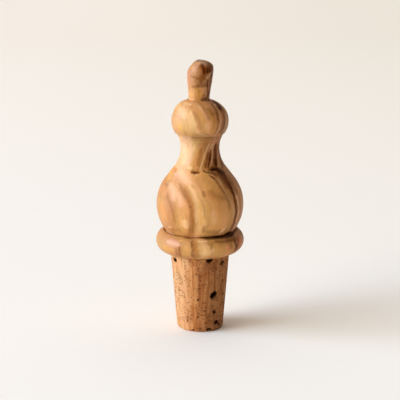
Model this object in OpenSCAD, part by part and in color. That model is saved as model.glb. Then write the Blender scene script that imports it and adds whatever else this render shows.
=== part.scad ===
// Bottle stopper: a turned olive wood head with a whittled tip, glued to a tapered natural cork.
// The origin is the centre of the cork's small end, and +Z runs up the turning axis.

/* [Cork] */
// Length of the cork, from its small end to the collar
cork_len = 32.7; // [28:0.1:38]
// Diameter of the cork's small end
cork_small_d = 19; // [18:0.1:21]
// Diameter of the cork's large end, under the collar
cork_large_d = 24.3; // [23:0.1:26]
// Width of the bevel worn on the small end's rim
cork_bevel = 0.6; // [0.2:0.1:1.5]

/* [Spigot] */
// Diameter of the spigot that is glued into the cork
spigot_d = 9; // [6:0.5:11]
// Length of the spigot below the collar
spigot_len = 18; // [10:1:22]
// Bevel on the spigot's end
spigot_bevel = 0.8; // [0.3:0.1:1.5]
// Room for glue round the spigot, on the radius
glue_room = 0.1; // [0.05:0.05:0.3]
// Depth of the cork's bore past the spigot's end
bore_spare = 1.5; // [0.5:0.5:4]

/* [Collar and bulb] */
// Outer diameter of the collar bead
collar_d = 36.1; // [34:0.1:42]
// Height of the collar bead
collar_h = 9.5; // [8:0.1:10]
// Largest diameter of the bulb
bulb_d = 35.6; // [34:0.1:37]
// Height of the bulb's middle above the cork
bulb_rise = 19.9; // [19:0.1:20.5]
// Slope of the straight shoulder between bulb and neck, from the turning axis
shoulder_angle = 37.5; // [36:0.5:39]

/* [Neck and ball] */
// Diameter of the neck's waist
waist_d = 15.8; // [15:0.1:17]
// Height of the waist above the bulb's middle
waist_rise = 23.5; // [23:0.1:24]
// Radius of the neck's hollow curve below the waist
neck_low_r = 13.2; // [12:0.1:14]
// Radius of the neck's hollow curve above the waist
neck_high_r = 10.9; // [10:0.1:11.5]
// How far the upper curve turns before it meets the ball
neck_high_turn = 34; // [32:1:36]
// Largest diameter of the ball
ball_d = 23.2; // [23:0.1:24]
// Radius of the ball's rounded section
ball_section_r = 8.7; // [8.5:0.1:9.2]
// Height of the ball's middle above the waist
ball_rise = 11; // [10.8:0.1:11.6]

/* [Tip] */
// Overall height of the stopper
total_h = 112; // [110:0.5:114]
// Diameter of the tip where it leaves the ball
tip_low_d = 8.7; // [8:0.1:10]
// Diameter of the tip's blank at its top
tip_high_d = 11.4; // [10.5:0.1:13]
// How far the tip leans towards +X
tip_lean = 2; // [0:0.5:4]
// Shift of the tip's foot from the turning axis, along +X
tip_shift = -0.3; // [-0.6:0.1:0.6]

/* [Hidden] */
$fn = 96;
arc_steps = 16;
olive_colour = "#c9975a";
cork_colour = "#bf8b58";

collar_r = collar_h / 2;
collar_ring_r = collar_d / 2 - collar_r;
collar_z = cork_len + collar_r;
bulb_r = bulb_d / 2;
bulb_z = cork_len + bulb_rise;
bulb_start_angle = -45; // inside the collar
waist_r = waist_d / 2;
waist_z = bulb_z + waist_rise;
neck_low_centre = [waist_r + neck_low_r, waist_z];
neck_high_centre = [waist_r + neck_high_r, waist_z];
neck_high_end = on_circle(neck_high_centre, neck_high_r, 180 - neck_high_turn);
ball_centre = [ball_d / 2 - ball_section_r, waist_z + ball_rise];
ball_start = neck_high_end - ball_centre;
ball_start_angle = atan2(ball_start[1], ball_start[0]);
ball_top_z = ball_centre[1] + ball_section_r;

bore_r = spigot_d / 2 + glue_room;
bore_len = spigot_len + bore_spare;
overlap = 0.5; // pieces of one solid run this far into each other

tip_foot_z = ball_top_z - 1.5; // inside the ball
tip_len = total_h - tip_foot_z;
cut_size = 30; // larger than the tip
// Each knife cut: compass direction, rise of its face's normal, and distance from the tip's middle
tip_cuts = [
    [245, 15, 4.1],
    [330, -3, 5],
    [95, 3, 4.9],
    [183, 41, 6.8],
    [300, 44, 7.6],
    [10, 44, 8.1],
    [75, 50, 7.9],
    [130, 44, 7.3],
];

// A point at an angle on a circle
function on_circle(centre, r, angle) = centre + r * [cos(angle), sin(angle)];

// Points along an arc, from one angle to another
function arc(centre, r, from, to) =
    [for (i = [0 : arc_steps]) on_circle(centre, r, from + (to - from) * i / arc_steps)];

module turned_body() {
    rotate_extrude() {
        translate([collar_ring_r, collar_z]) circle(r = collar_r);
        translate([0, cork_len]) square([collar_ring_r, collar_h]);
        polygon(concat(
            [[0, collar_z]],
            arc([0, bulb_z], bulb_r, bulb_start_angle, shoulder_angle),
            arc(neck_low_centre, neck_low_r, 180 + shoulder_angle, 180),
            arc(neck_high_centre, neck_high_r, 180, 180 - neck_high_turn),
            arc(ball_centre, ball_section_r, ball_start_angle, 90),
            [[0, ball_top_z]]
        ));
    }
}

module spigot() {
    translate([0, 0, cork_len - spigot_len + spigot_bevel])
        cylinder(h = spigot_len - spigot_bevel + overlap, r = spigot_d / 2);
    translate([0, 0, cork_len - spigot_len])
        cylinder(h = spigot_bevel, r1 = spigot_d / 2 - spigot_bevel, r2 = spigot_d / 2);
}

module whittled_tip() {
    difference() {
        translate([tip_shift, 0, tip_foot_z]) {
            rotate([0, tip_lean, 0]) {
                cylinder(h = tip_len + overlap, d1 = tip_low_d, d2 = tip_high_d);
            }
        }
        translate([0, 0, total_h]) cylinder(h = cut_size, r = cut_size);
        translate([0, 0, tip_foot_z + tip_len / 2]) {
            for (cut = tip_cuts) {
                rotate([0, -cut[1], cut[0]])
                    translate([cut[2], -cut_size / 2, -cut_size / 2]) cube(cut_size);
            }
        }
    }
}

module turned_head() {
    color(olive_colour) {
        union() {
            turned_body();
            spigot();
            whittled_tip();
        }
    }
}

module tapered_cork() {
    bevel_r = cork_small_d / 2 + (cork_large_d - cork_small_d) / 2 * cork_bevel / cork_len;
    color(cork_colour) {
        difference() {
            union() {
                cylinder(h = cork_bevel, r1 = bevel_r - cork_bevel, r2 = bevel_r);
                translate([0, 0, cork_bevel])
                    cylinder(h = cork_len - cork_bevel, r1 = bevel_r, d2 = cork_large_d);
            }
            translate([0, 0, cork_len - bore_len]) cylinder(h = bore_len + overlap, r = bore_r);
        }
    }
}

turned_head();
tapered_cork();
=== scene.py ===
import math
import random

import bmesh
import bpy
import numpy as np
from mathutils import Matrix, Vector, noise


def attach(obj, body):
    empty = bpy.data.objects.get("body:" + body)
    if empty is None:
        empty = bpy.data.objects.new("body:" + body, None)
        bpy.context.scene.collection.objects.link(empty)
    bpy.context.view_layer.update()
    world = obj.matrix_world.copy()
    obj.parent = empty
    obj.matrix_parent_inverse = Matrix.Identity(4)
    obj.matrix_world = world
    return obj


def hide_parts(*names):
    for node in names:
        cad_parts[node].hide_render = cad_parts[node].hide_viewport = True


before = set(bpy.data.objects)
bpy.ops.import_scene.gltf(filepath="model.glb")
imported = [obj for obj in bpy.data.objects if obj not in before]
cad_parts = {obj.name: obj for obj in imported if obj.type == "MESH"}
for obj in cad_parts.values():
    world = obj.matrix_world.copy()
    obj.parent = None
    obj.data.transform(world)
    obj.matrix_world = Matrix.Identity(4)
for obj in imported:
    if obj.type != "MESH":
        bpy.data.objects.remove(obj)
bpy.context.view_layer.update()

mm = 0.001

# settings that many nodes share
add, subtract, multiply, divide, scale, multiplyAdd, power, absolute = [
    {"operation": name}
    for name in ("ADD", "SUBTRACT", "MULTIPLY", "DIVIDE", "SCALE", "MULTIPLY_ADD", "POWER", "ABSOLUTE")]
asColour = {"data_type": "RGBA"}
asVector = {"data_type": "FLOAT_VECTOR"}
smoothly = {"interpolation_type": "SMOOTHSTEP"}
middle = (0.5, 0.5, 0.5)  # the mean of a noise's colour


def linearColour(hexText):
    # sRGB hex to the linear values that shaders use
    parts = [int(hexText[i:i + 2], 16) / 255 for i in (1, 3, 5)]
    return tuple(p / 12.92 if p <= 0.04045 else ((p + 0.055) / 1.055) ** 2.4 for p in parts) + (1.0,)


def addNode(tree, kind, settings=None, inputs=None):
    # inputs: socket name or number -> a value, or an output socket to link
    node = tree.nodes.new(kind)
    for key, value in (settings or {}).items():
        setattr(node, key, value)
    for key, value in (inputs or {}).items():
        if isinstance(value, bpy.types.NodeSocket):
            tree.links.new(value, node.inputs[key])
        else:
            node.inputs[key].default_value = value
    return node


def startTree(name, inputs):
    # a geometry tree with named inputs, and the sockets that hand them to its nodes
    tree = bpy.data.node_groups.new(name, "GeometryNodeTree")
    for label, kind in inputs.items():
        tree.interface.new_socket(label, in_out="INPUT", socket_type="NodeSocket" + kind)
    tree.interface.new_socket("Made", in_out="OUTPUT", socket_type="NodeSocketGeometry")
    return tree, addNode(tree, "NodeGroupInput").outputs


def endTree(tree, geometry, finish):
    real = addNode(tree, "GeometryNodeRealizeInstances", None, {"Geometry": geometry}).outputs[0]
    finished = addNode(tree, "GeometryNodeSetMaterial", None,
            {"Geometry": real, "Material": finish}).outputs[0]
    addNode(tree, "NodeGroupOutput", None, {"Made": finished})


def startMaterial(name, look):
    # a new material with its roughness and sheen, and its tree and shader
    material = bpy.data.materials.new(name)
    material.use_nodes = True
    shader = material.node_tree.nodes["Principled BSDF"]
    shader.inputs["Roughness"].default_value = look["roughness"]
    shader.inputs["Specular IOR Level"].default_value = look["sheen"]
    return material, material.node_tree, shader


def arcPoints(centre, radius, fromAngle, toAngle, steps):
    # points on an arc of the outline, as (distance from the axis, height), angles in degrees
    points = []
    for i in range(steps + 1):
        a = math.radians(fromAngle + (toAngle - fromAngle) * i / steps)
        points.append((centre[0] + radius * math.cos(a), centre[1] + radius * math.sin(a)))
    return points


def linePoints(start, end, steps):
    # even points on a line, without its end, which the next stretch begins with
    return [(start[0] + (end[0] - start[0]) * i / steps, start[1] + (end[1] - start[1]) * i / steps)
            for i in range(steps)]


def smooth(low, high, value):
    # rises softly from 0 at low to 1 at high
    t = np.clip((value - low) / (high - low), 0, 1)
    return t * t * (3 - 2 * t)


def latheTree():
    # turns half an outline about Z: one ring of points for each point of the outline
    tree, given = startTree("turnOnLathe", {"Outline": "Geometry", "Sides": "Int", "Crease Angle": "Float",
                                            "Merge Gap": "Float", "Finish": "Material"})
    rings = addNode(tree, "GeometryNodeAttributeDomainSize", {"component": "MESH"},
            {"Geometry": given["Outline"]}).outputs["Point Count"]
    across = addNode(tree, "ShaderNodeMath", add, {0: given["Sides"], 1: 1.0}).outputs[0]
    grid = addNode(tree, "GeometryNodeMeshGrid", None, {"Vertices X": rings, "Vertices Y": across})
    index = addNode(tree, "GeometryNodeInputIndex").outputs[0]
    ratio = addNode(tree, "ShaderNodeMath", divide, {0: index, 1: across}).outputs[0]
    ring = addNode(tree, "ShaderNodeMath", {"operation": "FLOOR"}, {0: ratio}).outputs[0]
    side = addNode(tree, "ShaderNodeMath", {"operation": "MODULO"}, {0: index, 1: across}).outputs[0]
    turn = addNode(tree, "ShaderNodeMath", divide, {0: side, 1: given["Sides"]}).outputs[0]
    angle = addNode(tree, "ShaderNodeMath", multiply, {0: turn, 1: math.tau}).outputs[0]
    place = addNode(tree, "GeometryNodeInputPosition").outputs[0]
    outlinePoint = addNode(tree, "GeometryNodeSampleIndex", asVector,
            {"Geometry": given["Outline"], "Value": place, "Index": ring}).outputs[0]
    turned = addNode(tree, "ShaderNodeVectorRotate", {"rotation_type": "Z_AXIS"},
            {"Vector": outlinePoint, "Angle": angle}).outputs[0]
    placed = addNode(tree, "GeometryNodeSetPosition", None,
            {"Geometry": grid.outputs["Mesh"], "Position": turned}).outputs[0]
    closed = addNode(tree, "GeometryNodeMergeByDistance", None,
            {"Geometry": placed, "Distance": given["Merge Gap"]}).outputs[0]
    outward = addNode(tree, "GeometryNodeFlipFaces", None, {"Mesh": closed}).outputs[0]
    bend = addNode(tree, "GeometryNodeInputMeshEdgeAngle").outputs["Unsigned Angle"]
    sharp = addNode(tree, "FunctionNodeCompare", {"operation": "GREATER_THAN"},
            {"A": bend, "B": given["Crease Angle"]}).outputs[0]
    creased = addNode(tree, "GeometryNodeStoreNamedAttribute", {"data_type": "BOOLEAN", "domain": "EDGE"},
            {"Geometry": outward, "Name": "sharp_edge", "Value": sharp}).outputs[0]
    endTree(tree, creased, given["Finish"])
    return tree


def runTree(name, mesh, tree, settings):
    # runs a geometry tree on a mesh, and keeps its result as a plain mesh object
    source = bpy.data.objects.new(name + "Source", mesh)
    bpy.context.scene.collection.objects.link(source)
    modifier = source.modifiers.new("shape", "NODES")
    modifier.node_group = tree
    sockets = {s.name: s.identifier for s in tree.interface.items_tree if s.in_out == "INPUT"}
    for label, value in settings.items():
        modifier[sockets[label]] = value
    depsgraph = bpy.context.evaluated_depsgraph_get()
    made = bpy.data.meshes.new_from_object(source.evaluated_get(depsgraph), preserve_all_data_layers=True,
                                           depsgraph=depsgraph)
    source.modifiers.remove(modifier)
    bpy.data.objects.remove(source)
    made.materials.clear()
    made.materials.append(settings["Finish"])
    piece = bpy.data.objects.new(name, made)
    bpy.context.scene.collection.objects.link(piece)
    return piece


def turnPiece(name, outline, sizes, finish):
    # turns an outline, given in mm from the foot's middle round to the axis, on the lathe
    mesh = bpy.data.meshes.new("outline")
    edges = [(i, i + 1) for i in range(len(outline) - 1)]
    mesh.from_pydata([(r * mm, 0, z * mm) for r, z in outline], edges, [])
    return runTree(name, mesh, lathe, {"Sides": sizes["sides"], "Crease Angle": sizes["creaseAngle"],
                                       "Merge Gap": sizes["mergeGap"] * mm, "Finish": finish})


# strokes waver by a long and a short wave, each given as its size in mm and its radians for each mm of height
# they reach a few half widths and a little more to each side, and taper over part of their length at each end
brush = {
    "waves": [(0.1, 1.3), (0.06, 3.1)], "step": 0.15, "evenOver": 5, "mmPerDegree": 0.2,
    "reach": (3, 0.6), "taper": (5, 0.25), "clearOfAxis": 0.5,
}


def strokePoints(points, surface, b):
    # lays a stroke's (turn, height) corners on the surface: points in mm, and how far along each one is
    corners = np.array(points, float)
    reach = np.hypot(np.diff(corners[:, 0]) * b["mmPerDegree"], np.diff(corners[:, 1]))
    along = np.concatenate([[0], np.cumsum(reach)])
    ticks = np.linspace(0, along[-1], max(2, int(along[-1] / b["step"])))
    turns = np.interp(ticks, along, corners[:, 0])
    heights = np.interp(ticks, along, corners[:, 1])
    laid = []
    for turn, height in zip(turns, heights):
        aside = np.abs((surface["turns"] - turn + 180) % 360 - 180) * b["mmPerDegree"]
        laid.append(surface["places"][np.argmin(aside + np.abs(surface["heights"] - height))])
    n = b["evenOver"]  # a running mean evens out the steps between points
    laid = np.pad(np.array(laid), ((n // 2, n // 2), (0, 0)), "edge")
    laid = sum(laid[i:len(laid) - n + 1 + i] for i in range(n)) / n
    return laid, ticks / along[-1]


def paintStrokes(mesh, kinds, fromHeight, b):
    # writes each kind of stroke as a vertex attribute from 0 to 1, and sinks the surface along it
    count = len(mesh.vertices)
    places, normals = np.empty(count * 3), np.empty(count * 3)
    mesh.vertices.foreach_get("co", places)
    mesh.vertex_normals.foreach_get("vector", normals)
    places, normals = places.reshape(-1, 3) / mm, normals.reshape(-1, 3)
    fromAxis = np.hypot(places[:, 0], places[:, 1])
    outer = places[(places[:, 2] > fromHeight) & (fromAxis > b["clearOfAxis"])]
    surface = {"places": outer, "heights": outer[:, 2],
               "turns": np.degrees(np.arctan2(outer[:, 0], -outer[:, 1]))}
    wave = sum(size * np.sin(places[:, 2] * rate + places[:, way])
               for way, (size, rate) in enumerate(b["waves"]))
    sink = np.zeros(count)
    for kind, strokes in kinds.items():
        amount = np.zeros(count)
        for points, halfWidth, strength, *cut in strokes:
            depth = sum(cut)
            laid, along = strokePoints(points, surface, b)
            reach = halfWidth * b["reach"][0] + b["reach"][1]
            close = np.where(np.all((places > laid.min(0) - reach) & (places < laid.max(0) + reach), 1))[0]
            gaps = np.linalg.norm(places[close][:, None] - laid[None], axis=2)
            nearest = gaps.argmin(1)
            taper = np.clip(np.minimum(along, 1 - along) * b["taper"][0] + b["taper"][1], 0, 1)[nearest]
            gap = np.abs(gaps[np.arange(len(close)), nearest] + wave[close] * min(1, halfWidth * 2))
            fall = np.exp(-(gap / (halfWidth * taper)) ** 2)
            amount[close] = np.maximum(amount[close], fall * strength)
            sink[close] = np.where(np.abs(fall * depth) > np.abs(sink[close]), fall * depth, sink[close])
        mesh.attributes.new(kind, "FLOAT", "POINT").data.foreach_set("value", amount)
    places -= normals * sink[:, None]
    mesh.vertices.foreach_set("co", (places * mm).ravel())
    mesh.update()


lathe = latheTree()


# olive wood, turned, sanded and oiled: growth rings show as brown and honey bands that bend round each curve,
# and the oil gives the grain depth and a soft satin sheen
oliveLook = {
    # height and sideways place of the tree's own centre line, which lies off the piece's axis, in mm
    "pithCurve": [(0, 15), (30, 17), (34, 16), (38, 15.1), (43, 15.6), (50, 14), (69.5, 14), (82, 19.2),
                  (84, 14), (112, 14)],
    "tallest": 112, "widest": 30, "ringSpan": 34,
    "wander": 0.6, "wanderSize": 7, "drift": 3.0, "driftSize": 30, "driftFrom": -3, "driftTo": 9,
    "fanMiddle": 14, "fanFrom": 82, "fanTo": 94, "fanSpread": 2.2, "fanPower": 0.6,
    # colours by distance from the centre line in mm, each list taking over above the height before it
    "rings": [
        (0, "plain", [
            (0, "#b98a5e"), (3.5, "#bc8a5c"), (5, "#cc9468"), (6.5, "#d29366"), (7.4, "#c48456"),
            (8.3, "#e6a872"), (8.9, "#c88c50"), (9.4, "#9c5c1c"), (10.2, "#945414"), (10.7, "#b4733a"),
            (11.2, "#d08f4e"), (13, "#dc9854"), (14.6, "#eca963"), (16.5, "#e3a25a"), (18.5, "#e6a55e"),
            (20.2, "#daa05c"), (21.2, "#e5ae6c"), (22.6, "#eab87a"), (23.2, "#d29f60"), (24.2, "#ac702c"),
            (24.8, "#b2783a"), (25.4, "#bf8648"), (26.6, "#c48e52"), (27.6, "#b07e42"), (28.4, "#a36e38"),
            (29.4, "#a8743f"), (33, "#a87e50")]),
        # the neck: its outermost stops, from 21 mm, lie on its left where the light falls and are paler as
        # painted sheen
        (68.3, "plain", [
            (5, "#bc825a"), (7.5, "#d29860"), (9, "#c48048"), (10.5, "#a05a22"), (12, "#ae6a2e"),
            (13.4, "#c07e40"), (15, "#c28044"), (17, "#ba7b3a"), (19, "#bf8442"), (21, "#c9a366"),
            (24, "#c09e70")]),
        # the ball: its outer stops from 16 mm, on its left, are partly paler wood and partly painted sheen
        (82.1, "fanned", [
            (9.5, "#c09468"), (10.8, "#ac784a"), (11.3, "#9c602a"), (11.8, "#bc7842"), (12.2, "#cc8a50"),
            (13, "#de984e"), (13.6, "#de944e"), (14.3, "#e6a864"), (15, "#dea462"), (15.5, "#c8904e"),
            (16, "#c4945a"), (16.6, "#d4aa74"), (17.5, "#ba905c"), (19, "#b08650")]),
        (96.2, "plain", [
            (8, "#a87c50"), (10, "#9c6430"), (12, "#d2985f"), (13.4, "#d69858"), (15, "#b47a36"),
            (17, "#b4844a"), (20, "#b68a56")]),
        (101.4, "plain", [
            (8, "#a87c54"), (9, "#9e7446"), (10, "#9a602e"), (12, "#ae6e34"), (13, "#90560e"),
            (14.5, "#7c4a18"), (16, "#8e5e2c"), (17, "#a67446"), (18.5, "#ac7e50")]),
    ],
    "edgeBlur": 0.35,
    "endGrain": "#b27c45", "endGrainShare": 0.7,
    # grain that runs with the rings: width, depth and length in mm, and detail
    "grains": {"fibre": (0.4, 1.2, 9, 3.0), "band": (2.2, 8.8, 25, 2.0), "vein": (1.6, 6.4, 22, 2.0)},
    "fibreRange": (0.25, 0.75), "fibreContrast": 0.1,
    "patchSize": 9, "patchRange": (0.3, 0.7), "patchContrast": 0.08,
    "bandTints": [(0.98, 1.0, 0.84), (1.04, 0.98, 1.1)], "bandRange": (0.35, 0.65),
    "veinShare": 0.16, "veinThickness": 0.04,
    # mark colours: pink, light and grey carry painted sheen in places, and brown and dark carry painted shade
    # in places, beside the wood's own marks
    "marks": {"gold": "#d89c3c", "pink": "#e1ac8e", "light": "#f4c896", "red": "#e07a44", "brown": "#6c3204",
              "grey": "#8a7660", "dark": "#2c0c02"},
    "roughness": 0.6, "sheen": 0.45, "dulling": 0.85, "relief": 0.02,
}


def centreLine(tree, height, look):
    # the place of the tree's centre line at each height
    curve = addNode(tree, "ShaderNodeFloatCurve")
    share = addNode(tree, "ShaderNodeMath", divide, {0: height, 1: look["tallest"]}).outputs[0]
    tree.links.new(share, curve.inputs["Value"])
    corners = curve.mapping.curves[0].points
    for level, side in look["pithCurve"][1:-1]:
        corners.new(level / look["tallest"], side / look["widest"])
    for corner, (level, side) in zip(corners, look["pithCurve"]):
        corner.location = (level / look["tallest"], side / look["widest"])
        corner.handle_type = "VECTOR"
    curve.mapping.update()
    sideways = addNode(tree, "ShaderNodeMath", multiply, {0: curve.outputs[0], 1: look["widest"]}).outputs[0]
    return addNode(tree, "ShaderNodeCombineXYZ", None, {0: sideways}).outputs[0]


def oliveWoodFinish(look):
    material, tree, shader = startMaterial("oiled olive wood", look)
    coords = addNode(tree, "ShaderNodeTexCoord").outputs
    place = addNode(tree, "ShaderNodeVectorMath", scale, {0: coords["Object"], "Scale": 1 / mm}).outputs[0]
    axes = addNode(tree, "ShaderNodeSeparateXYZ", None, {0: place}).outputs
    height = axes[2]

    # the rings wander a little everywhere, and drift further at the back
    ripple, swing = [
        addNode(tree, "ShaderNodeTexNoise", None, {"Vector": place, "Scale": 1 / size, "Detail": detail})
        for size, detail in ((look["wanderSize"], 2.0), (look["driftSize"], 1.0))]
    ripple, swing = [
        addNode(tree, "ShaderNodeVectorMath", subtract, {0: cloud.outputs["Color"], 1: middle}).outputs[0]
        for cloud in (ripple, swing)]
    behind = addNode(tree, "ShaderNodeMapRange", smoothly,
            {0: axes[1], 1: look["driftFrom"], 2: look["driftTo"], 3: 0.0, 4: 2 * look["drift"]}).outputs[0]
    swing = addNode(tree, "ShaderNodeVectorMath", scale, {0: swing, "Scale": behind}).outputs[0]
    bent = addNode(tree, "ShaderNodeVectorMath", multiplyAdd,
            {0: ripple, 1: (2 * look["wander"],) * 3, 2: place}).outputs[0]
    bent = addNode(tree, "ShaderNodeVectorMath", add, {0: bent, 1: swing}).outputs[0]

    # distance from the tree's centre line
    pith = centreLine(tree, height, look)
    outward = addNode(tree, "ShaderNodeVectorMath", subtract, {0: bent, 1: pith}).outputs[0]
    level = addNode(tree, "ShaderNodeVectorMath", multiply, {0: outward, 1: (1, 1, 0)}).outputs[0]
    ring = addNode(tree, "ShaderNodeVectorMath", {"operation": "LENGTH"}, {0: level}).outputs["Value"]

    # in the ball the rings fan out upwards
    climb = addNode(tree, "ShaderNodeMapRange", None,
            {0: height, 1: look["fanFrom"], 2: look["fanTo"], 3: 0.0, 4: 1.0}).outputs[0]
    climb = addNode(tree, "ShaderNodeMath", power, {0: climb, 1: look["fanPower"]}).outputs[0]
    spread = addNode(tree, "ShaderNodeMath", multiplyAdd, {0: climb, 1: look["fanSpread"], 2: 1.0}).outputs[0]
    fanned = ring
    for step, value in ((subtract, look["fanMiddle"]), (divide, spread), (add, look["fanMiddle"])):
        fanned = addNode(tree, "ShaderNodeMath", step, {0: fanned, 1: value}).outputs[0]
    distances = {"plain": ring, "fanned": fanned}

    colour = None
    for fromHeight, kind, stops in look["rings"]:
        along = addNode(tree, "ShaderNodeMath", divide, {0: distances[kind], 1: look["ringSpan"]}).outputs[0]
        ramp = addNode(tree, "ShaderNodeValToRGB", None, {"Fac": along})
        elements = ramp.color_ramp.elements
        while len(elements) < len(stops):
            elements.new(1.0)
        for element, (distance, shade) in zip(elements, stops):
            element.position = distance / look["ringSpan"]
            element.color = linearColour(shade)
        if colour is None:
            colour = ramp.outputs["Color"]
            continue
        above = addNode(tree, "ShaderNodeMapRange", smoothly,
                {0: height, 1: fromHeight - look["edgeBlur"], 2: fromHeight + look["edgeBlur"]}).outputs[0]
        colour = addNode(tree, "ShaderNodeMix", asColour,
                {0: above, 6: colour, 7: ramp.outputs["Color"]}).outputs[2]

    # end grain drinks more oil, so it is browner where the surface faces up or down
    facing = addNode(tree, "ShaderNodeSeparateXYZ", None, {0: coords["Normal"]}).outputs[2]
    facing = addNode(tree, "ShaderNodeMath", absolute, {0: facing}).outputs[0]
    facing = addNode(tree, "ShaderNodeMath", multiply, {0: facing, 1: look["endGrainShare"]}).outputs[0]
    colour = addNode(tree, "ShaderNodeMix", asColour,
            {0: facing, 6: colour, 7: linearColour(look["endGrain"])}).outputs[2]

    # fine fibres, broad bands of yellower and pinker wood, and thin darker veins, drawn out along the grain
    grains = {}
    for name, (*sizes, detail) in look["grains"].items():
        parts = {}
        for i, (way, size) in enumerate(zip((ring, axes[1], height), sizes)):
            parts[i] = addNode(tree, "ShaderNodeMath", divide, {0: way, 1: size}).outputs[0]
        along = addNode(tree, "ShaderNodeCombineXYZ", None, parts).outputs[0]
        grains[name] = addNode(tree, "ShaderNodeTexNoise", None,
                {"Vector": along, "Scale": 1.0, "Detail": detail}).outputs["Fac"]
    patch = addNode(tree, "ShaderNodeTexNoise", None,
            {"Vector": place, "Scale": 1 / look["patchSize"], "Detail": 2.0}).outputs["Fac"]
    for name, cloud in (("fibre", grains["fibre"]), ("patch", patch)):
        low, high = look[name + "Range"]
        contrast = look[name + "Contrast"]
        lighter = addNode(tree, "ShaderNodeMapRange", None,
                {0: cloud, 1: low, 2: high, 3: 1 - contrast, 4: 1 + contrast}).outputs[0]
        colour = addNode(tree, "ShaderNodeVectorMath", scale, {0: colour, "Scale": lighter}).outputs[0]
    yellower, pinker = look["bandTints"]
    low, high = look["bandRange"]
    pink = addNode(tree, "ShaderNodeMapRange", None, {0: grains["band"], 1: low, 2: high}).outputs[0]
    tint = addNode(tree, "ShaderNodeMix", asColour,
            {0: pink, 6: yellower + (1,), 7: pinker + (1,)}).outputs[2]
    colour = addNode(tree, "ShaderNodeVectorMath", multiply, {0: colour, 1: tint}).outputs[0]
    vein = addNode(tree, "ShaderNodeMath", subtract, {0: grains["vein"], 1: 0.5}).outputs[0]
    vein = addNode(tree, "ShaderNodeMath", absolute, {0: vein}).outputs[0]
    vein = addNode(tree, "ShaderNodeMapRange", smoothly,
            {0: vein, 1: 0.0, 2: look["veinThickness"], 3: look["veinShare"], 4: 0.0}).outputs[0]
    amounts = {mark: addNode(tree, "ShaderNodeAttribute", {"attribute_name": mark}).outputs["Fac"]
               for mark in look["marks"]}
    for amount, mark in [(vein, "brown")] + [(amounts[mark], mark) for mark in look["marks"]]:
        colour = addNode(tree, "ShaderNodeMix", asColour,
                {0: amount, 6: colour, 7: linearColour(look["marks"][mark])}).outputs[2]

    # dark grain, cracks and painted shade hold no shine
    deep = addNode(tree, "ShaderNodeMath", {"operation": "ADD", "use_clamp": True},
            {0: amounts["brown"], 1: amounts["dark"]}).outputs[0]
    dull = addNode(tree, "ShaderNodeMath", multiplyAdd,
            {0: deep, 1: -look["dulling"] * look["sheen"], 2: look["sheen"]}).outputs[0]
    bump = addNode(tree, "ShaderNodeBump", None,
            {"Height": grains["fibre"], "Distance": look["relief"] * mm}).outputs[0]
    for socket, result in (("Base Color", colour), ("Specular IOR Level", dull), ("Normal", bump)):
        tree.links.new(result, shader.inputs[socket])
    return material


# natural cork, punched from bark and sanded: tan with soft upright streaks and dark pores, and no sheen
corkLook = {
    # the second pale and brown pair is painted shade: darker streaks that take over across the cork, in mm
    # from the left, on its middle and right, away from the light
    "pale": "#c29c70", "brown": "#a87546", "warm": "#c48e62", "shadedPale": "#bd824e", "shadedBrown": "#a0602f",
    "shadeFrom": -8, "shadeTo": -2, "speckAndShadow": "#5c3014", "dark": "#160800",
    # each pattern's width and height in mm, detail, the range over which it fades in, and its share
    "patterns": {
        "streak": (1.3, 9, 3.0, 0.32, 0.68, 1.0), "patch": (5, 5, 3.0, 0.38, 0.66, 0.7),
        "dash": (1.5, 0.32, 0.0, 0.55, 0.65, 1.0), "busy": (6, 6, 1.0, 0.42, 0.58, 0.7)},
    "dotGap": 1.2, "dotSquash": 1.6, "dotEdge": (0.18, 0.4), "dotChance": (0.5, 0.8), "dotShare": 0.8,
    "marks": {"speckAndShadow": "speckAndShadow", "pore": "dark", "dark": "dark"},
    "roughness": 0.85, "sheen": 0.25, "grainSize": 0.6, "relief": 0.05,
}


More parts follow.
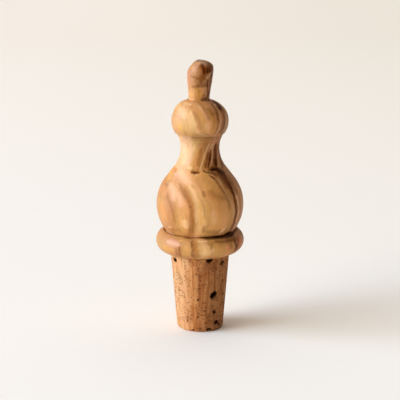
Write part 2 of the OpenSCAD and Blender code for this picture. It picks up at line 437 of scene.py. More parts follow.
def corkFinish(look):
    material, tree, shader = startMaterial("natural cork", look)
    shades = {name: linearColour(look[name])
              for name in ("pale", "brown", "warm", "shadedPale", "shadedBrown", "speckAndShadow", "dark")}
    coords = addNode(tree, "ShaderNodeTexCoord").outputs
    place = addNode(tree, "ShaderNodeVectorMath", scale, {0: coords["Object"], "Scale": 1 / mm}).outputs[0]
    amounts = {}
    for name, (wide, tall, detail, low, high, share) in look["patterns"].items():
        stretched = addNode(tree, "ShaderNodeVectorMath", multiply,
                {0: place, 1: (1 / wide, 1 / wide, 1 / tall)}).outputs[0]
        cloud = addNode(tree, "ShaderNodeTexNoise", None,
                {"Vector": stretched, "Scale": 1.0, "Detail": detail}).outputs["Fac"]
        amounts[name] = addNode(tree, "ShaderNodeMapRange", smoothly,
                {0: cloud, 1: low, 2: high, 4: share}).outputs[0]

    # small specks
    stretched = addNode(tree, "ShaderNodeVectorMath", multiply,
            {0: place, 1: (1, 1, look["dotSquash"])}).outputs[0]
    dots = addNode(tree, "ShaderNodeTexVoronoi", None,
            {"Vector": stretched, "Scale": 1 / look["dotGap"]}).outputs
    low, high = look["dotEdge"]
    dot = addNode(tree, "ShaderNodeMapRange", smoothly,
            {0: dots["Distance"], 1: low, 2: high, 3: 1.0, 4: 0.0}).outputs[0]
    chance = addNode(tree, "ShaderNodeSeparateColor", None, {0: dots["Color"]}).outputs[0]
    low, high = look["dotChance"]
    chance = addNode(tree, "ShaderNodeMapRange", None,
            {0: chance, 1: low, 2: high, 4: look["dotShare"]}).outputs[0]
    dot = addNode(tree, "ShaderNodeMath", multiply, {0: dot, 1: chance}).outputs[0]
    # short dashes lie across the streaks, in some places more than others
    dash = addNode(tree, "ShaderNodeMath", multiply, {0: amounts["dash"], 1: amounts["busy"]}).outputs[0]

    outer, shadedStreaks = [
        addNode(tree, "ShaderNodeMix", asColour,
                {0: amounts["streak"], 6: shades[dark], 7: shades[light]}).outputs[2]
        for dark, light in (("brown", "pale"), ("shadedBrown", "shadedPale"))]
    # painted shade: from the left side towards the middle and right the streaks turn to their darker pair
    sideways = addNode(tree, "ShaderNodeSeparateXYZ", None, {0: place}).outputs[0]
    shadedSide = addNode(tree, "ShaderNodeMapRange", smoothly,
            {0: sideways, 1: look["shadeFrom"], 2: look["shadeTo"]}).outputs[0]
    layers = [(amounts["patch"], shades["warm"]), (shadedSide, shadedStreaks)]
    layers += [(dot, shades["speckAndShadow"]), (dash, shades["speckAndShadow"])]
    for mark, shade in look["marks"].items():
        amounts[mark] = addNode(tree, "ShaderNodeAttribute", {"attribute_name": mark}).outputs["Fac"]
        layers.append((amounts[mark], shades[shade]))
    colour = outer
    for amount, shade in layers:
        colour = addNode(tree, "ShaderNodeMix", asColour, {0: amount, 6: colour, 7: shade}).outputs[2]

    # pits, and the painted shadow under the collar, hold no shine
    dull = addNode(tree, "ShaderNodeMath", {"operation": "MULTIPLY_ADD", "use_clamp": True},
            {0: amounts["dark"], 1: -look["sheen"], 2: look["sheen"]}).outputs[0]
    grain = addNode(tree, "ShaderNodeTexNoise", None,
            {"Vector": place, "Scale": 1 / look["grainSize"], "Detail": 3.0}).outputs["Fac"]
    bump = addNode(tree, "ShaderNodeBump", None,
            {"Height": grain, "Distance": look["relief"] * mm}).outputs[0]
    for socket, result in (("Base Color", colour), ("Specular IOR Level", dull), ("Normal", bump)):
        tree.links.new(result, shader.inputs[socket])
    return material


oliveWood = oliveWoodFinish(oliveLook)
naturalCork = corkFinish(corkLook)
print("finishes made")


head = {
    # in mm up from the cork's foot and out from the axis, with angles in degrees, but the crease in radians
    "collarRadius": 4.75, "collarRing": 13.3, "collarFoot": 32.7, "collarEnd": 67,
    "grooveRadius": 13.7, "grooveHeight": 41.5, "grooveLips": ((0.7, -0.05), (0, 0), (0.2, 0.06)),
    "bulbStart": -38, "bulbRadius": 17.8, "bulbHeight": 52.6, "shoulderAngle": 37.5, "footNotch": (0.25, 0.5),
    "waistRadius": 7.9, "waistHeight": 76.1, "neckLow": 13.2, "neckHigh": 10.9, "neckTurn": 34,
    "ballRadius": 11.6, "ballSection": 8.7, "ballHeight": 87.1,
    "spigotRadius": 4.5, "spigotLength": 18, "spigotBevel": 0.8,
    # points along each stretch of the outline, about 0.35 mm apart
    "steps": {"underside": 4, "collar": 46, "bulb": 66, "shoulder": 17, "neckLow": 30, "neckHigh": 22,
              "ball": 60},
    "tipFoot": 4.3, "sides": 300, "creaseAngle": 0.5, "mergeGap": 0.002, "marksFrom": 32.9,
}


def headOutline(h):
    # from the spigot's foot round the collar, bulb, neck and ball to where the tip begins
    steps = h["steps"]
    foot = h["collarFoot"]
    low = foot - h["spigotLength"]
    bevel = h["spigotBevel"]
    collarMiddle = (h["collarRing"], foot + h["collarRadius"])
    neckLowCentre = (h["waistRadius"] + h["neckLow"], h["waistHeight"])
    neckHighCentre = (h["waistRadius"] + h["neckHigh"], h["waistHeight"])
    ballCentre = (h["ballRadius"] - h["ballSection"], h["ballHeight"])
    neckLow = arcPoints(neckLowCentre, h["neckLow"], 180 + h["shoulderAngle"], 180, steps["neckLow"])
    neckHigh = arcPoints(neckHighCentre, h["neckHigh"], 180, 180 - h["neckTurn"], steps["neckHigh"])
    ballStart = math.degrees(math.atan2(neckHigh[-1][1] - ballCentre[1], neckHigh[-1][0] - ballCentre[0]))
    ballEnd = math.degrees(math.acos((h["tipFoot"] - ballCentre[0]) / h["ballSection"]))
    notchDepth, notchWidth = h["footNotch"]
    points = [(0, low), (h["spigotRadius"] - bevel, low), (h["spigotRadius"], low + bevel)]
    points += linePoints((h["spigotRadius"], foot), (h["collarRing"], foot), steps["underside"])
    points += arcPoints(collarMiddle, h["collarRadius"], -90, h["collarEnd"], steps["collar"])
    points += [(h["grooveRadius"] + out, h["grooveHeight"] + up) for out, up in h["grooveLips"]]
    bulbMiddle = (0, h["bulbHeight"])
    points += arcPoints(bulbMiddle, h["bulbRadius"], h["bulbStart"], h["shoulderAngle"], steps["bulb"])
    points += linePoints(points[-1], neckLow[0], steps["shoulder"])[1:]
    points += [neckLow[0], (neckLow[0][0] - notchDepth, neckLow[0][1] + notchWidth / 2)]
    points += [p for p in neckLow if p[1] > neckLow[0][1] + notchWidth]
    points += neckHigh[1:]
    points += arcPoints(ballCentre, h["ballSection"], ballStart, ballEnd, steps["ball"])[1:]
    return points


# the whittled tip, in mm: a leaning blank, and knife cuts by direction, rise and distance from the middle
tip = {
    "middle": (0.1, 0, 104), "lean": 0.05, "leanFrom": 103.5, "shiftOver": (90.5, 96),
    "blank": [(95, 4.2), (98, 4.45), (100.4, 4.7), (102, 5.0), (104.4, 5.27), (108, 5.45), (114, 5.7)],
    "cuts": [(245, 12, 5.2), (183, 41, 6.38), (2, 45, 7.75), (20, 70, 7.98), (80, 45, 7.4),
             (130, 40, 7.0), (0, 90, 8.0), (345, -7, 5.0)],
    "edgeSoftness": 0.4, "footGap": 0.2, "sideRings": 30, "sideTop": 2, "topRings": 34, "sideReach": 4.9,
    "farOutside": 14.0, "halvings": 40,
    "roughOver": (100.5, 101.5), "roughSize": 1.1, "roughFiner": (0.5, 2.3), "roughDepth": 0.1,
}


def tipInside(t, points):
    # negative inside the tip, positive outside, in mm
    heights, radii = zip(*t["blank"])
    centreX = (points[..., 2] - t["leanFrom"]) * t["lean"]
    across = np.hypot(points[..., 0] - centreX, points[..., 1])
    walls = [across - np.interp(points[..., 2], heights, radii)]
    for compass, rise, distance in t["cuts"]:
        a, e = math.radians(compass), math.radians(rise)
        facing = np.array([math.cos(a) * math.cos(e), math.sin(a) * math.cos(e), math.sin(e)])
        walls.append((points - np.array(t["middle"])) @ facing - distance)
    walls = np.stack(walls)
    k = t["edgeSoftness"]
    return k * np.log(np.exp(walls / k).sum(0))


def tipRings(t, sides, footHeight):
    # finds the tip's surface along rays from its middle: one ring of points for each fall from the top
    low = footHeight - t["middle"][2] + t["footGap"]
    falls = [math.atan2(t["sideReach"], h) for h in np.linspace(low, t["sideTop"], t["sideRings"])]
    falls[0] = math.atan2(np.interp(footHeight, *zip(*t["blank"])), low)
    falls += list(np.linspace(falls[-1], 0, t["topRings"])[1:-1])
    falls = np.array(falls)[:, None]
    turns = np.linspace(0, math.tau, sides, endpoint=False)[None, :]
    rays = np.stack([np.sin(falls) * np.cos(turns), np.sin(falls) * np.sin(turns),
                     np.cos(falls) + 0 * turns], -1)
    near, far = np.zeros(rays.shape[:2]), np.full(rays.shape[:2], t["farOutside"])
    for step in range(t["halvings"]):
        half = (near + far) / 2
        outside = tipInside(t, np.array(t["middle"]) + half[..., None] * rays) > 0
        far = np.where(outside, half, far)
        near = np.where(outside, near, half)
    return np.array(t["middle"]) + near[..., None] * rays, rays


def addTip(piece, t):
    # grows the tip's rings from the ball's open ring, roughens the whittled part, and closes it at the top
    shape = bmesh.new()
    shape.from_mesh(piece.data)
    for v in shape.verts:
        v.co.x += (v.co.z / mm - t["leanFrom"]) * t["lean"] * mm * float(smooth(*t["shiftOver"], v.co.z / mm))
    rim = [v for v in shape.verts if v.is_boundary]
    footHeight = max(v.co.z for v in rim) / mm
    centreX = sum(v.co.x for v in rim) / len(rim)
    sides = len(rim)
    rim.sort(key=lambda v: round(math.atan2(v.co.y, v.co.x - centreX) / math.tau * sides) % sides)
    finerShare, finerRate = t["roughFiner"]
    last = rim
    for ring, rays in zip(*tipRings(t, sides, footHeight)):
        new = []
        for place, ray in zip(ring, rays):
            rough = noise.noise(Vector(place) / t["roughSize"])
            rough += finerShare * noise.noise(Vector(place) * finerRate / t["roughSize"])
            rough *= t["roughDepth"] * float(smooth(*t["roughOver"], place[2]))
            new.append(shape.verts.new(Vector(place + ray * (rough - t["roughDepth"] / 2)) * mm))
        for i in range(sides):
            j = (i + 1) % sides
            shape.faces.new((last[i], last[j], new[j], new[i]))
        last = new
    top = shape.verts.new(sum((v.co for v in last), Vector()) / sides)
    for i in range(sides):
        shape.faces.new((last[i], last[(i + 1) % sides], top))
    bmesh.ops.recalc_face_normals(shape, faces=shape.faces)
    for f in shape.faces:
        f.smooth = True
    shape.to_mesh(piece.data)
    shape.free()


# marks in the wood, with painted shade and highlights among them, where (turn, height) is degrees round from
# the
# front and mm up: each stroke is its corners, its half width in mm, its strength, and where a cut or crack
# sinks it, how deep in mm
headMarks = {
    "gold": [
        ([(-76, 66.3), (-68, 65), (-66, 63.6)], 1.5, 0.4), ([(-51, 86.9), (-40, 85.2)], 1.5, 0.4),
        ([(-1, 58), (0, 53), (2, 48)], 1.0, 0.5), ([(10, 56), (12, 50)], 1.0, 0.25),
        ([(-62, 55), (-50, 48)], 1.5, 0.15), ([(-56, 36.8), (-45, 36.6), (-34, 36.8)], 1.0, 0.3),
        ([(-31, 41), (-24, 40.7)], 0.6, 0.5), ([(-1, 37), (0, 38.8)], 0.8, 0.5),
        ([(35, 37.6), (34, 36)], 0.7, 0.5), ([(-50, 99), (-42, 97.5)], 0.7, 0.4),
        ([(0, 99.5), (0, 97.5)], 0.6, 0.5), ([(-23, 111), (-8, 111.1), (6, 110.9)], 0.45, 0.4),
    ],
    "pink": [
        # pinker pale wood, with painted sheen where the light falls on the left of the shoulder, neck, ball,
        # collar and tip
        ([(-60, 66.4), (-46, 67), (-31, 65.4), (-16, 64.1)], 2.2, 0.55),
        ([(-56, 62.9), (-43, 60.9), (-36, 57)], 1.8, 0.4),
        ([(-36, 60.4), (-29, 58.4), (-24, 55)], 1.4, 0.35), ([(-60, 79), (-45, 74), (-40, 70)], 2.0, 0.4),
        ([(-28, 79), (-32, 73), (-34, 70)], 1.2, 0.35), ([(-62, 93), (-46, 92.5), (-34, 90)], 2.0, 0.4),
        ([(-50, 39.6), (-38, 39.4), (-27, 39.4)], 1.3, 0.45), ([(-42, 109), (-20, 108)], 2.0, 0.3),
    ],
    "light": [
        # foot of the neck
        ([(0, 69.5), (2, 68.6), (4, 67.9)], 0.35, 0.6), ([(50, 69), (54, 67.5), (66, 65.8)], 0.35, 0.5),
        ([(-32, 69.6), (-20, 69.4)], 0.6, 0.4), ([(-9, 67.2), (-4, 67.1)], 0.35, 0.6),
        # neck
        ([(27, 79), (20, 76.6), (14, 74.6), (5, 71.3), (0, 69.3)], 0.35, 0.5),
        ([(37, 79), (33, 76.6)], 0.3, 0.5),
        ([(43, 81), (42, 77.9), (39, 74.2), (32, 71.5), (23, 69.3)], 0.25, 0.65),
        ([(64, 76), (63, 74), (58, 71.7), (50, 69.5), (52, 67.9), (57, 66.5)], 0.3, 0.6),
        # ball
        ([(53, 95.2), (51, 93.6), (48, 91), (46, 88.4), (41, 85.3), (33, 82.6)], 0.4, 0.6),
        ([(-16, 95.5), (2, 93.7), (13, 91.2), (20, 88.9)], 0.35, 0.4),
        ([(-24, 92.9), (-14, 90.1), (-7, 87.2)], 0.6, 0.4), ([(-35, 94.8), (-32, 94.7)], 1.5, 0.5),
        ([(-66, 95), (-27, 94.8)], 0.8, 0.3), ([(82, 94.4), (80, 92.5), (76, 89.9)], 0.4, 0.5),
        ([(70, 91), (68, 88.5), (66, 85.5)], 1.3, 0.4), ([(10, 88), (18, 86)], 1.0, 0.3),
        # shoulder and bulb
        ([(-20, 63.7), (-12, 61.7), (-8, 59.6), (-5, 56.9), (-4, 54), (-5, 49)], 0.9, 0.35),
        ([(58, 62.4), (56, 60.2), (59, 58.1), (60, 55.2), (62, 51.8), (60, 49.4)], 0.35, 0.8),
        ([(58, 58.5), (60, 56), (61, 53.1)], 0.3, 0.6),
        ([(37, 66.2), (36, 63.3), (39, 60.7), (43, 58.2), (47, 55.3), (50, 52.2), (49, 48.4)], 0.5, 0.35),
        ([(36, 45.3), (31, 43.2)], 0.35, 0.7), ([(40, 46.2), (35, 43.7)], 0.35, 0.6),
        ([(-20, 50), (-21, 46)], 1.4, 0.4), ([(-55, 45), (-44, 45.3)], 0.3, 0.5),
        # the first stroke here is painted light in the groove between collar and bulb, on the left, where the
        # light fills it
        ([(-84, 41.9), (-64, 42), (-46, 42)], 0.45, 0.7), ([(18, 54), (19, 48)], 1.2, 0.3),
        # collar
        ([(-3, 38.6), (12, 38.8)], 1.3, 0.3), ([(-2, 36.6), (14, 36.4)], 1.3, 0.4),
        ([(-4, 40.9), (10, 41)], 0.35, 0.7), ([(60, 39.6), (54, 37.6)], 0.35, 0.5),
        ([(14, 38), (19, 36.5)], 0.8, 0.35),
        # tip: a raised ridge and raised specks, painted light as highlights, and lighter streaks
        ([(66, 108), (52, 106.9), (43, 105.9), (38, 105)], 0.35, 0.5, -0.15),
        ([(30, 106.2), (34, 104.6)], 0.4, 0.6), ([(23, 104.5), (14, 103)], 0.4, 0.15),
        ([(57, 105.6), (61, 103.2), (56, 100.8)], 0.5, 0.45), ([(12, 110.7), (14, 110.4)], 0.35, 0.9, -0.1),
        ([(22, 110.8), (25, 110.6)], 0.3, 0.7, -0.1), ([(40, 111.3), (44, 110.9)], 0.3, 0.5, -0.1),
        ([(29, 110), (32, 109.6)], 0.3, 0.6, -0.1), ([(52, 110.6), (54, 110)], 0.3, 0.5, -0.1),
        ([(33, 106), (35, 105.6)], 0.35, 0.8, -0.1), ([(40, 103.4), (42, 102)], 0.3, 0.5),
    ],
    "red": [
        ([(39, 37.1), (43, 36.9)], 0.95, 0.9), ([(64, 40), (63, 36)], 1.8, 0.7),
        ([(18, 34.5), (22, 34.3)], 0.5, 1), ([(11, 69), (14, 68.4)], 0.35, 0.6),
        ([(-7, 87.2), (0, 85.6)], 0.9, 0.3), ([(56, 47.6), (55, 45.5), (54, 43.7)], 0.7, 0.35),
        ([(-63, 54), (-55, 50)], 1.3, 0.2), ([(66, 51), (66, 54)], 0.7, 0.4),
        ([(48, 80), (58, 77), (58, 74.6)], 0.7, 0.25), ([(12, 61), (22, 59)], 1.5, 0.25),
        ([(24, 62), (28, 57), (26, 51)], 2.6, 0.14), ([(10, 109), (14, 107)], 0.8, 0.3),
    ],
    "brown": [
        # foot of the neck
        ([(-21, 68), (-10, 67.9), (0, 68.2)], 0.75, 0.9, 0.1), ([(-8, 69), (-2, 69)], 0.35, 0.6),
        ([(20, 68.5), (34, 68.9), (56, 67.5)], 1.4, 0.85), ([(52, 68), (56, 65), (60, 61)], 2.0, 0.6),
        ([(1, 69), (3, 67.8)], 0.25, 0.5), ([(8, 69), (9, 67.8)], 0.25, 0.6),
        ([(32, 67.6), (42, 66.2), (46, 64), (49, 61.3)], 1.2, 0.7),
        ([(52, 67.2), (60, 65), (63, 62.2)], 1.2, 0.55),
        # neck
        ([(26, 76), (21, 73.3), (16, 71.3), (12, 69.4)], 0.7, 0.75),
        ([(33, 76.5), (29, 73.2), (24, 71.2), (19, 69.4)], 0.6, 0.95),
        ([(52, 79), (50, 74), (46, 71.2), (42, 69.3)], 1.1, 0.95),
        ([(-16, 79.6), (5, 79), (20, 79.4)], 1.6, 0.25), ([(62, 78), (66, 74), (70, 70)], 1.2, 0.45),
        # the next two long strokes at 81 to 82 mm are painted shade under the ball, where it meets the neck
        ([(-25, 81.9), (-10, 81.8), (7, 81.8), (30, 81.9)], 0.7, 0.45),
        ([(-24, 81), (4, 80.8), (26, 81)], 1.5, 0.35), ([(4, 78), (-1, 73), (-2, 69.8)], 0.7, 0.4),
        ([(-7, 73.4), (-4, 69.8)], 0.5, 0.3),
        # ball
        ([(39, 96), (42, 94.7), (42, 92.7), (40, 90.1), (39, 87.4)], 0.55, 0.7),
        ([(40, 90), (39, 87.4), (37, 84.7), (30, 82.6)], 0.5, 0.5),
        ([(19, 93.6), (26, 92.1), (28, 90.6)], 1.1, 0.4),
        ([(2, 95.3), (8, 94.4), (12, 92.6), (17, 90.8), (21, 88.9)], 0.8, 0.4),
        ([(8, 94.6), (16, 92)], 0.5, 0.4), ([(60, 91.1), (60, 88.4), (56, 85.7), (48, 83.5)], 0.8, 0.5),
        ([(72, 91), (75, 87.1), (71, 83.9)], 1.1, 0.15),
        ([(-16, 92.6), (-9, 91.2), (-3, 88.7), (1, 85.6)], 1.1, 0.25),
        # the first stroke here is painted shade on the ball's underside
        ([(-19, 83.1), (2, 83.3), (29, 83.1)], 1.0, 0.2), ([(-33, 85.1), (-32, 82.6)], 0.7, 0.3),
        ([(-72, 91), (-64, 86)], 1.4, 0.1), ([(78, 95.6), (70, 94.2), (60, 92.5), (52, 94)], 1.4, 0.8),
        ([(-19, 95.8), (0, 95.2)], 0.5, 0.4),
        # shoulder and bulb
        ([(-36, 63.6), (-30, 62.1), (-23, 60.4), (-17, 58.4), (-13, 56.2), (-11, 53.8), (-10, 51), (-10, 47),
          (-12, 42.7)], 0.9, 0.4),
        ([(-10, 52), (-10, 48), (-12, 43.5)], 0.9, 0.3),
        ([(-53, 59.7), (-48, 57.2), (-42, 55.1), (-38, 53), (-36, 50.6), (-35, 47)], 0.9, 0.35),
        ([(-72, 62), (-58, 61.9)], 0.6, 0.3),
        ([(30, 64), (35, 61.5), (39, 59), (42, 56.4), (42, 53)], 0.9, 0.35),
        ([(18, 67), (27, 65.6), (31, 64), (34, 61.6), (38, 59.6)], 0.5, 0.75),
        ([(37, 66), (42, 64), (44, 61)], 0.7, 0.4),
        ([(32, 69.2), (45, 67.2), (49, 65.2), (51, 62.9), (52, 60.1), (53, 57.4)], 0.7, 0.9),
        ([(53, 58), (54, 54), (55, 51.1), (54, 48.6), (57, 45.8)], 0.55, 0.9),
        ([(52, 68), (54, 65.2), (55, 62.5), (55, 59), (54, 57)], 0.8, 0.9),
        ([(12, 61.7), (20, 59.6), (30, 58.6), (37, 57.6)], 1.6, 0.32), ([(4, 61.4), (7, 59.2)], 0.8, 0.45),
        ([(-5, 60), (3, 58), (5, 55), (7, 50)], 0.5, 0.25), ([(54, 66), (58, 62), (64, 58)], 1.6, 0.5),
        ([(64, 59.1), (68, 56.4), (65, 53.7), (66, 50.7)], 0.5, 0.4), ([(6, 47.6), (4, 44)], 0.7, 0.4),
        ([(8, 44.6), (22, 44.2), (30, 43.2)], 1.1, 0.35), ([(-59, 44.8), (-36, 44.4)], 0.8, 0.3),
        ([(-31, 45.6), (-29, 43)], 0.7, 0.3), ([(57, 47), (54, 43.5)], 1.1, 0.8),
        # back
        ([(150, 67), (146, 61), (150, 54), (158, 48), (160, 43.5)], 1.0, 0.7),
        ([(205, 66.5), (214, 60), (216, 53), (210, 46), (212, 43.5)], 0.9, 0.6),
        ([(118, 66), (122, 58), (118, 50)], 0.8, 0.5),
        ([(250, 64), (246, 57), (250, 49), (258, 44)], 1.0, 0.4),
        ([(160, 95), (168, 91), (170, 87), (165, 83.5)], 0.7, 0.7),
        ([(200, 94), (206, 90), (204, 85)], 0.6, 0.5), ([(110, 94), (118, 90), (116, 85)], 0.7, 0.6),
        ([(168, 80), (160, 75), (158, 70)], 0.7, 0.7), ([(225, 79), (218, 74), (220, 70)], 0.6, 0.4),
        ([(155, 41), (157, 37), (156, 34.5)], 0.9, 0.6), ([(212, 41), (213, 38), (211, 34.5)], 0.7, 0.5),
        ([(165, 109), (168, 104), (172, 98)], 0.6, 0.6),
        # collar
        ([(-27, 38.8), (-27, 36), (-28, 34)], 0.6, 0.6), ([(-11, 41.2), (-9, 38.6), (-8, 34.2)], 0.8, 0.5),
        ([(16, 40.2), (14, 37.6)], 0.2, 0.5), ([(10, 40), (20, 39.9)], 0.5, 0.3),
        # on the collar's top at the right: brown wood, and the bulb's painted shadow
        ([(16, 40.4), (25, 40.4), (34, 40.2), (44, 39.9), (52, 39.7)], 0.6, 0.6),
        ([(38, 40.5), (46, 40.2), (52, 40.2)], 0.8, 0.75),
        ([(52, 40.6), (53, 39.1), (55, 37.4), (53, 35.5)], 0.7, 0.75),
        ([(60, 41), (62, 38), (60, 35)], 1.4, 0.3), ([(40, 41), (43, 39.1), (46, 36.6)], 0.5, 0.45),
        ([(56, 41), (60, 39), (62, 36.8)], 0.4, 0.6), ([(75, 41), (75, 40)], 1.0, 0.3),
        # painted shade in the groove between collar and bulb, on the left
        ([(-64, 41.6), (-50, 41.5), (-34, 41.5)], 0.4, 0.6), ([(-26, 41.8), (-6, 41.8)], 0.5, 0.9),
        ([(30, 33.8), (10, 33.7)], 0.4, 0.3),
        # tip
        ([(-50, 111.6), (0, 111.7), (45, 111.5), (62, 110.9), (80, 109.6)], 0.6, 0.6),
        ([(-90, 111.8), (0, 111.95), (90, 111.8), (180, 111.95), (270, 111.8)], 1.4, 0.6),
        # round the gouges on the tip's right, away from the light, these strokes are browner wood and painted
        # shade
        ([(6, 111), (13, 110), (20, 108.5), (21, 106.8)], 1.6, 1),
        ([(40, 110.4), (48, 109), (46, 107.4)], 1.5, 0.95),
        ([(28, 110.2), (31, 108.6), (31, 106.8)], 1.0, 0.9),
        ([(70, 109), (66, 107.6), (60, 106), (52, 104)], 0.7, 0.7),
        ([(24, 107.5), (14, 106), (6, 105)], 1.4, 0.6), ([(24, 110.6), (36, 109.6), (44, 108)], 1.3, 0.6),
        ([(35, 111.3), (46, 109.8), (52, 107.8)], 1.3, 0.6),
        ([(60, 111), (66, 109.2), (74, 107.2)], 1.3, 0.65),
        ([(74, 109), (65, 106.6), (59, 104.4), (56, 101.6), (58, 98)], 0.9, 0.7),
        ([(10, 98), (26, 97.7), (40, 97.2)], 0.9, 0.4),
        ([(-47, 106), (-36, 105.3), (-12, 105), (8, 105.5)], 0.5, 0.6, 0.1),
        ([(-60, 108), (-55, 105), (-52, 102)], 1.8, 0.14), ([(-8, 105.2), (4, 104.6), (10, 105)], 0.7, 0.6),
        ([(0, 104.8), (4, 103)], 0.5, 0.5), ([(-46, 101.4), (-22, 101.6), (-4, 101.7)], 0.7, 0.5),
        ([(-78, 100.7), (-46, 100.8)], 0.5, 0.4),
        ([(39, 104.6), (37, 102.5), (43, 99.4), (50, 97.2)], 0.5, 0.8), ([(5, 97.3), (34, 97.4)], 0.5, 0.5),
        ([(-30, 96.2), (10, 96.1)], 0.3, 0.5), ([(-6, 100.5), (-6, 97.2)], 0.35, 0.4),
    ],
    "grey": [
        ([(-90, 111.8), (0, 111.95), (90, 111.8), (180, 111.95), (270, 111.8)], 1.4, 0.7),
        ([(0, 111.4), (20, 111.1), (45, 110.9), (60, 110.2)], 0.8, 0.6, -0.1),
        # the two broad strokes on the shoulder's left are painted sheen, and the short stroke at the ball's
        # right edge is painted rim sheen
        ([(-42, 81.4), (-27, 81.7)], 0.5, 0.4), ([(-72, 67), (-64, 64.5), (-60, 61.5)], 2.4, 0.18),
        ([(-52, 65), (-42, 63.5)], 1.6, 0.1), ([(80, 95.2), (84, 93)], 0.6, 0.4),
    ],
    "dark": [
        # back
        ([(168, 68), (178, 68.3), (188, 68)], 0.4, 0.9, 0.3),
        ([(150, 66.5), (147, 62), (149, 57)], 0.5, 0.35), ([(215, 57), (216, 53), (213, 49)], 0.45, 0.35),
        ([(164, 94), (168, 91), (170, 88)], 0.45, 0.35), ([(163, 78), (160, 75), (159, 72)], 0.45, 0.35),
        # painted shade in the groove between collar and bulb, round the back
        ([(62, 41.8), (110, 41.75), (150, 41.75), (200, 41.75)], 0.4, 0.6),
        ([(150, 107), (158, 104), (160, 100)], 0.3, 0.7, 0.2),
        # cuts and dark grain at the neck's foot
        ([(-17, 68), (-10, 67.9), (-3, 68.1)], 0.35, 0.6, 0.3), ([(9, 68.9), (11, 68)], 0.25, 0.6, 0.1),
        ([(26, 68.6), (34, 68.9), (45, 68.7), (53, 67.5), (61, 66.3)], 0.8, 1, 0.4),
        ([(38, 68.4), (46, 67.4), (53, 66.1), (56, 64.8)], 0.8, 0.85),
        ([(7, 68.4), (18, 67.9), (28, 67.4), (34, 66.2)], 0.35, 0.8, 0.15),
        ([(17, 67.2), (24, 66.2), (29, 65)], 0.3, 0.6, 0.1),
        # neck
        ([(33, 75.4), (29, 73.2), (24, 71.2), (20, 69.5)], 0.4, 0.5), ([(47, 72.5), (42, 69.5)], 0.8, 0.55),
        ([(82, 78), (79, 73), (70, 70), (61, 68.4)], 0.7, 0.65),
        # the first stroke here is painted shade in the crease under the ball
        ([(-24, 81.9), (0, 82.1), (31, 82)], 0.3, 0.3), ([(30, 80.3), (38, 82.4), (48, 84.3)], 0.3, 0.5),
        ([(42, 80.1), (51, 82), (61, 83.9)], 0.35, 0.5),
        # ball
        ([(76, 95.4), (70, 94.6), (64, 93), (56, 93)], 0.8, 0.95, 0.1),
        ([(60, 95.9), (52, 94.6)], 0.5, 0.7), ([(-15, 95.2), (-2, 94.4)], 0.25, 0.4),
        ([(42, 94.7), (42, 92.7), (40, 90.5)], 0.25, 0.35),
        # shoulder and bulb
        ([(-37, 62.2), (-28, 61.1), (-22, 59.3), (-17, 57.9), (-14, 56.2)], 0.3, 0.25),
        ([(-12, 53.5), (-13, 50.1), (-14, 46.6), (-17, 42.6)], 0.3, 0.25),
        ([(-13, 55.7), (-12, 55.1)], 0.5, 0.5),
        ([(50, 67.4), (53, 65.4), (54, 63.2), (54, 60.6), (54, 57.6)], 0.5, 0.5),
        ([(54, 57.4), (54, 54), (55, 51.1)], 0.35, 0.3), ([(-52, 42.6), (-47, 42.8)], 0.4, 0.6, 0.1),
        ([(31, 45.5), (28, 43.4)], 0.25, 0.5), ([(44, 45.3), (40, 43.2)], 0.3, 0.5),
        ([(-15, 46.5), (-17, 43)], 0.25, 0.4),
        # the line between collar and bulb: painted shade in the groove, and the bulb's painted shadow on the
        # collar's top at the right
        ([(-22, 41.8), (-8, 41.8)], 0.4, 0.4),
        ([(5, 41.8), (12, 41.7), (30, 41.7), (50, 41.7), (66, 41.75)], 0.75, 1),
        ([(42, 42), (50, 42.2), (62, 42.2)], 0.8, 1, 0.2), ([(0, 41.9), (30, 42), (62, 42)], 0.5, 1),
        ([(28, 41.4), (42, 41.3), (58, 41.4)], 0.6, 0.9),
        # collar
        ([(-32, 38.6), (-32, 37), (-32, 34.4)], 0.25, 0.45),
        ([(-12, 40.9), (-10, 37.8), (-11, 34.2)], 0.25, 0.5), ([(52, 40.5), (53, 39), (54, 37)], 0.35, 0.6),
        ([(66, 41), (60, 39), (56, 37)], 0.28, 0.5),
        # tip
        # the first three are shallow gouges, painted dark as the shade inside them
        ([(10, 110.8), (17, 109.8), (20, 108.4), (21, 106.6)], 0.7, 0.5, 0.3),
        ([(32, 109.9), (36, 108.6), (36, 106.8)], 0.6, 0.6, 0.2),
        ([(46, 109.6), (52, 108.4), (50, 107)], 0.6, 0.5, 0.1),
        ([(-46, 111.6), (-34, 111.7), (-14, 111.7)], 0.35, 0.5),
        ([(72, 107), (62, 104.4), (58, 102)], 0.4, 0.5), ([(75, 109.8), (80, 108.5)], 0.5, 0.6),
        ([(64, 107), (60, 105.6)], 0.5, 0.5, 0.1),
        ([(38, 104.8), (37, 102.3), (38, 100.6)], 0.3, 0.5, 0.15), ([(55, 99.6), (57, 97)], 0.4, 0.8, 0.2),
        # a shallow groove where the tip meets the ball, painted dark as the shade in it
        ([(10, 96.1), (40, 96.2), (80, 96)], 0.4, 0.9, 0.1),
    ],
}

# finer streaks on the side away from the camera, laid at random: (lowest, highest, how many)
backStreaks = {
    "seed": 7, "turns": (88, 272), "slant": 6, "sway": 2, "halfWidths": (0.45, 1.2), "strengths": (0.15, 0.4),
    "zones": [(34, 41, 12), (43, 67, 24), (69.5, 81, 10), (83.5, 95, 14), (97, 110, 8)],
    "startsWithin": 0.6, "shortest": 0.3,
    "shares": {"brown": 6, "light": 2, "gold": 3, "pink": 2},
}


